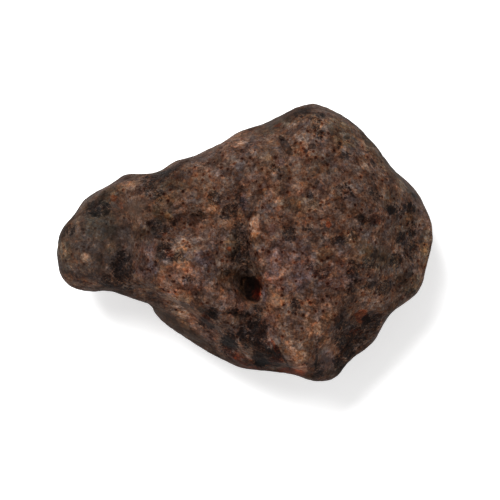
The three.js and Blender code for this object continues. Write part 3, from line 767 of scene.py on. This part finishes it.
def broken_surface():
    """The stone's surface with its grain, clasts and small hollows, and where its marks lie."""
    fine = smoothed_solid()
    count = len(fine.vertices)
    points = np.empty(count * 3)
    normals = np.empty(count * 3)
    fine.vertices.foreach_get("co", points)
    fine.vertex_normals.foreach_get("vector", normals)
    points = points.reshape(-1, 3) * PER_MM
    normals = normals.reshape(-1, 3)

    face = upper_face(points, normals)
    # faces turned sideways or down: less relief, and the worn colour on them is partly painted shade
    side = ease(-normals[:, 2], *SIDE_TURN) * ease(points[:, 2], *SIDE_RISE)
    wear_and_shade = np.maximum(side * SIDE_WEAR_AND_SHADE, marked(points, face, WORN_PLACES))
    height = np.array([relief(Vector(p), w) for p, w in zip(points, wear_and_shade)])
    off_bed = ease(points[:, 2], 0.0, BED_FADE)
    moved = points + normals * height[:, None]
    moved[:, 2] = np.maximum(moved[:, 2], 0) * off_bed + np.maximum(points[:, 2], 0) * (1 - off_bed)
    fine.vertices.foreach_set("co", (moved * MM).ravel())

    masks = {name: marked(points, face, mark["places"]) for name, mark in MARKS.items()}
    hidden = ease(-normals[:, 2], *HIDDEN_TURN)
    for name, (width, rare, shift) in SCATTER.items():
        blotch = ease(scattered(points, width, shift), rare, rare + SCATTER_RISE)
        masks[name] = np.maximum(masks[name], blotch * hidden)
    masks["wear_and_shade"] = wear_and_shade
    masks["standing"] = np.clip(LEVEL + height * STANDING_GAIN, 0, 1)
    for name, values in masks.items():
        layer = fine.attributes.new(name, "FLOAT", "POINT")
        layer.data.foreach_set("value", values.astype(np.float32))
    fine.shade_smooth()
    fine.update()
    return fine


def rock_patterns(tree):
    """Noise and cells of each size in the rock, as sockets by name."""
    place = add(tree, "ShaderNodeTexCoord").outputs["Object"]
    straight = add(tree, "ShaderNodeVectorMath", {"operation": "SCALE", "Scale": PER_MM}, {0: place})
    swirl = add(
        tree,
        "ShaderNodeTexNoise",
        {"Scale": 1 / SWIRL, "Detail": 1.0},
        {"Vector": straight.outputs[0]},
    )
    bent = add(
        tree,
        "ShaderNodeVectorMath",
        {"operation": "MULTIPLY_ADD", 1: (BEND, BEND, BEND)},
        {0: swirl.outputs["Color"], 2: straight.outputs[0]},
    )
    found = {}
    for name, (width, detail, roughness, is_bent) in NOISES.items():
        spots = add(
            tree,
            "ShaderNodeTexNoise",
            {"Scale": 1 / width, "Detail": detail, "Roughness": roughness},
            {"Vector": bent.outputs[0] if is_bent else straight.outputs[0]},
        )
        found[name] = spots.outputs["Fac"]
    for name in LINES:
        signed = add(tree, "ShaderNodeMath", {"operation": "SUBTRACT", 1: MIDDLE}, {0: found[name]})
        from_middle = add(tree, "ShaderNodeMath", {"operation": "ABSOLUTE"}, {0: signed.outputs[0]})
        found[name] = from_middle.outputs[0]
    for name, width in CELLS.items():
        cells = add(tree, "ShaderNodeTexVoronoi", {"Scale": 1 / width}, {"Vector": bent.outputs[0]})
        kinds = add(tree, "ShaderNodeSeparateColor", {}, {"Color": cells.outputs["Color"]})
        found[name] = cells.outputs["Distance"]
        for kind in ("Red", "Green", "Blue"):
            found[f"{name} {kind.lower()}"] = kinds.outputs[kind]
    return found


def matrix_colour(tree, patterns):
    """The brown matrix, light and dark by the sum of the patterns' departures from their middle."""
    tone = None
    for name, weight in TONES.items():
        part = add(
            tree,
            "ShaderNodeMath",
            {"operation": "MULTIPLY_ADD", 1: weight, 2: -weight * MIDDLE},
            {0: patterns[name]},
        )
        if tone is None:
            part.inputs[2].default_value = MIDDLE - weight * MIDDLE
            tone = part.outputs[0]
        else:
            both = add(tree, "ShaderNodeMath", {"operation": "ADD"}, {0: tone, 1: part.outputs[0]})
            tone = both.outputs[0]
    ramp = add(tree, "ShaderNodeValToRGB", {}, {"Fac": tone})
    while len(ramp.color_ramp.elements) < len(MATRIX_COLOURS):
        ramp.color_ramp.elements.new(MIDDLE)
    for element, (position, code) in zip(ramp.color_ramp.elements, MATRIX_COLOURS):
        element.position = position
        element.color = linear(code)
    return ramp.outputs["Color"]


def tint_minerals(tree, colour, patterns):
    """Tints the matrix with rust, grey fragments and pale feldspar."""
    for name, start, full, tint in MINERALS:
        amount = add(
            tree,
            "ShaderNodeMapRange",
            {"From Min": start, "From Max": full},
            {"Value": patterns[name]},
        )
        tinted = add(
            tree,
            "ShaderNodeMix",
            {"data_type": "RGBA", "blend_type": "MULTIPLY", 7: (*tint, 1.0)},
            {0: amount.outputs[0], 6: colour},
        )
        colour = tinted.outputs[2]
    return colour


def tint_spots(tree, colour, patterns):
    """Tints the pores and single crystals. The second value is how deep the pores are, by the last of
    their spots."""
    depth = None
    for cells, kind, threshold, radius, tint in SPOTS:
        picked = add(
            tree,
            "ShaderNodeMath",
            {"operation": "GREATER_THAN", 1: threshold},
            {0: patterns[f"{cells} {kind}"]},
        )
        inside = add(
            tree,
            "ShaderNodeMapRange",
            {"From Min": radius, "From Max": radius * SPOT_EDGE},
            {"Value": patterns[cells]},
        )
        amount = add(
            tree,
            "ShaderNodeMath",
            {"operation": "MULTIPLY"},
            {0: inside.outputs[0], 1: picked.outputs[0]},
        )
        tinted = add(
            tree,
            "ShaderNodeMix",
            {"data_type": "RGBA", "blend_type": "MULTIPLY", 7: (*tint, 1.0)},
            {0: amount.outputs[0], 6: colour},
        )
        colour = tinted.outputs[2]
        if cells == "pore":
            depth = amount.outputs[0]
    return colour, depth


def tint_marks(tree, colour, patterns):
    """Tints the marks, each with lacy edges. The rock shows as thin veins through the dark ones."""
    nearest = add(
        tree,
        "ShaderNodeMath",
        {"operation": "MINIMUM"},
        {0: patterns["thread"], 1: patterns["hair"]},
    )
    between_veins = add(
        tree,
        "ShaderNodeMapRange",
        {"From Min": VEIN_FULL, "From Max": VEIN_FROM, "To Min": VEIN_TINT},
        {"Value": nearest.outputs[0]},
    )
    for name, mark in MARKS.items():
        level = add(tree, "ShaderNodeAttribute", {"attribute_name": name})
        ragged = mark["ragged"]
        lace = add(
            tree,
            "ShaderNodeMath",
            {"operation": "MULTIPLY_ADD", 1: ragged, 2: 1 - ragged * MIDDLE},
            {0: patterns["lace"]},
        )
        torn = add(
            tree,
            "ShaderNodeMath",
            {"operation": "MULTIPLY"},
            {0: level.outputs["Fac"], 1: lace.outputs[0]},
        )
        amount = add(
            tree,
            "ShaderNodeMapRange",
            {"From Min": MARK_FROM, "From Max": MARK_FULL},
            {"Value": torn.outputs[0]},
        )
        if name in VEINED_MARKS:
            amount = add(
                tree,
                "ShaderNodeMath",
                {"operation": "MULTIPLY"},
                {0: amount.outputs[0], 1: between_veins.outputs[0]},
            )
        tinted = add(
            tree,
            "ShaderNodeMix",
            {"data_type": "RGBA", "blend_type": "MULTIPLY", 7: (*mark["tint"], 1.0)},
            {0: amount.outputs[0], 6: colour},
        )
        colour = tinted.outputs[2]
    return colour


def tint_wear_and_shade(tree, colour):
    """Dulls the worn places and sides; on the sides the dull colour is also painted shade. Darkens the
    hollows and lightens the crests. The second value is how worn the place is, with the painted shade of
    the sides."""
    wear_and_shade = add(tree, "ShaderNodeAttribute", {"attribute_name": "wear_and_shade"}).outputs["Fac"]
    share = add(tree, "ShaderNodeMath", {"operation": "MULTIPLY", 1: WORN_SHARE}, {0: wear_and_shade})
    dulled = add(
        tree,
        "ShaderNodeMix",
        {"data_type": "RGBA", 7: linear(WORN_AND_SHADE_COLOUR)},
        {0: share.outputs[0], 6: colour},
    )
    colour = dulled.outputs[2]
    standing = add(tree, "ShaderNodeAttribute", {"attribute_name": "standing"}).outputs["Fac"]
    for start, full, tint in STANDING_TINTS:
        amount = add(tree, "ShaderNodeMapRange", {"From Min": start, "From Max": full}, {"Value": standing})
        tinted = add(
            tree,
            "ShaderNodeMix",
            {"data_type": "RGBA", "blend_type": "MULTIPLY", 7: (*tint, 1.0)},
            {0: amount.outputs[0], 6: colour},
        )
        colour = tinted.outputs[2]
    return colour, wear_and_shade


def grain_bump(tree, patterns, pores, wear_and_shade):
    """The fine grain as bump, with sunken pores, fainter where the stone is worn."""
    layers = [(patterns[name], weight) for name, weight in BUMPS.items()]
    layers.append((pores, PORE_BUMP))
    height = None
    for socket, weight in layers:
        links = {0: socket} if height is None else {0: socket, 2: height}
        summed = add(tree, "ShaderNodeMath", {"operation": "MULTIPLY_ADD", 1: weight, 2: 0.0}, links)
        height = summed.outputs[0]
    strength = add(
        tree,
        "ShaderNodeMapRange",
        {"To Min": FRESH_BUMP, "To Max": WORN_BUMP},
        {"Value": wear_and_shade},
    )
    bump = add(
        tree,
        "ShaderNodeBump",
        {"Distance": BUMP_HEIGHT * MM},
        {"Height": height, "Strength": strength.outputs[0]},
    )
    return bump.outputs["Normal"]


def weathered_breccia():
    """Rock: a polymict breccia whose broken face has rusted and worn in a desert. Mineral grains and
    rock fragments of many tones sit in a warm brown matrix, with rust in the pores and no shine."""
    material = bpy.data.materials.new("weathered_breccia")
    material.use_nodes = True
    tree = material.node_tree
    tree.nodes.clear()
    patterns = rock_patterns(tree)
    colour = matrix_colour(tree, patterns)
    colour = tint_minerals(tree, colour, patterns)
    colour, pores = tint_spots(tree, colour, patterns)
    colour, wear_and_shade = tint_wear_and_shade(tree, colour)
    colour = tint_marks(tree, colour, patterns)
    dark, light = SPECKLE_SPAN
    roughest, smoothest = ROUGHNESS_SPAN
    roughness = add(
        tree,
        "ShaderNodeMapRange",
        {"From Min": dark, "From Max": light, "To Min": roughest, "To Max": smoothest},
        {"Value": patterns["speckle"]},
    )
    rock = add(
        tree,
        "ShaderNodeBsdfPrincipled",
        {"IOR": 1.5, "Specular IOR Level": 0.05},
        {
            "Base Color": colour,
            "Roughness": roughness.outputs[0],
            "Normal": grain_bump(tree, patterns, pores, wear_and_shade),
        },
    )
    add(tree, "ShaderNodeOutputMaterial", {}, {"Surface": rock.outputs["BSDF"]})
    return material


def white_paper():
    """Matt white paper, a little brighter than its light, as the photograph's plain ground is."""
    material = bpy.data.materials.new("white_paper")
    material.use_nodes = True
    paper = material.node_tree.nodes["Principled BSDF"]
    paper.inputs["Base Color"].default_value = linear("#f6f6f6")
    paper.inputs["Roughness"].default_value = 0.9
    paper.inputs["Emission Color"].default_value = linear("#ffffff")
    paper.inputs["Emission Strength"].default_value = 0.45
    return material


def make_stone():
    """The stone, which takes the place of its solid."""
    stone = bpy.data.objects.new("weathered_stone", broken_surface())
    bpy.context.scene.collection.objects.link(stone)
    stone.data.materials.append(weathered_breccia())
    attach(stone, "root")
    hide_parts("stone")


def make_floor():
    """A wide white floor under the stone."""
    half = FLOOR_HALF * MM
    mesh = bpy.data.meshes.new("floor")
    corners = [(-half, -half, 0), (half, -half, 0), (half, half, 0), (-half, half, 0)]
    mesh.from_pydata(corners, [], [(0, 1, 2, 3)])
    floor = bpy.data.objects.new("floor", mesh)
    bpy.context.scene.collection.objects.link(floor)
    mesh.materials.append(white_paper())


def make_light():
    """White light from all round, and a softbox from the upper left."""
    world = bpy.data.worlds.new("white_studio")
    world.use_nodes = True
    world.node_tree.nodes["Background"].inputs["Color"].default_value = linear("#ffffff")
    world.node_tree.nodes["Background"].inputs["Strength"].default_value = 0.5
    bpy.context.scene.world = world

    softbox = bpy.data.lights.new("softbox", "AREA")
    softbox.energy = 8.0
    softbox.size = SOFTBOX_SIZE * MM
    lamp = bpy.data.objects.new("softbox", softbox)
    bpy.context.scene.collection.objects.link(lamp)
    lamp.location = [value * MM for value in SOFTBOX_PLACE]
    towards = Vector((0, 0, STONE_TOP * MM)) - lamp.location
    lamp.rotation_euler = towards.to_track_quat("-Z", "Y").to_euler()


def make_camera():
    """A long lens straight above, at the distance that takes in the picture's width at the rim."""
    data = bpy.data.cameras.new("camera")
    data.lens = LENS
    data.sensor_width = SENSOR
    camera = bpy.data.objects.new("camera", data)
    bpy.context.scene.collection.objects.link(camera)
    above_rim = LENS * PICTURE_WIDTH / SENSOR
    x, y = PICTURE_MIDDLE
    camera.location = (x * MM, y * MM, (RIM_HEIGHT + above_rim) * MM)
    bpy.context.scene.camera = camera
    bpy.context.scene.view_settings.view_transform = "Standard"


make_camera()
make_light()
make_floor()
make_stone()
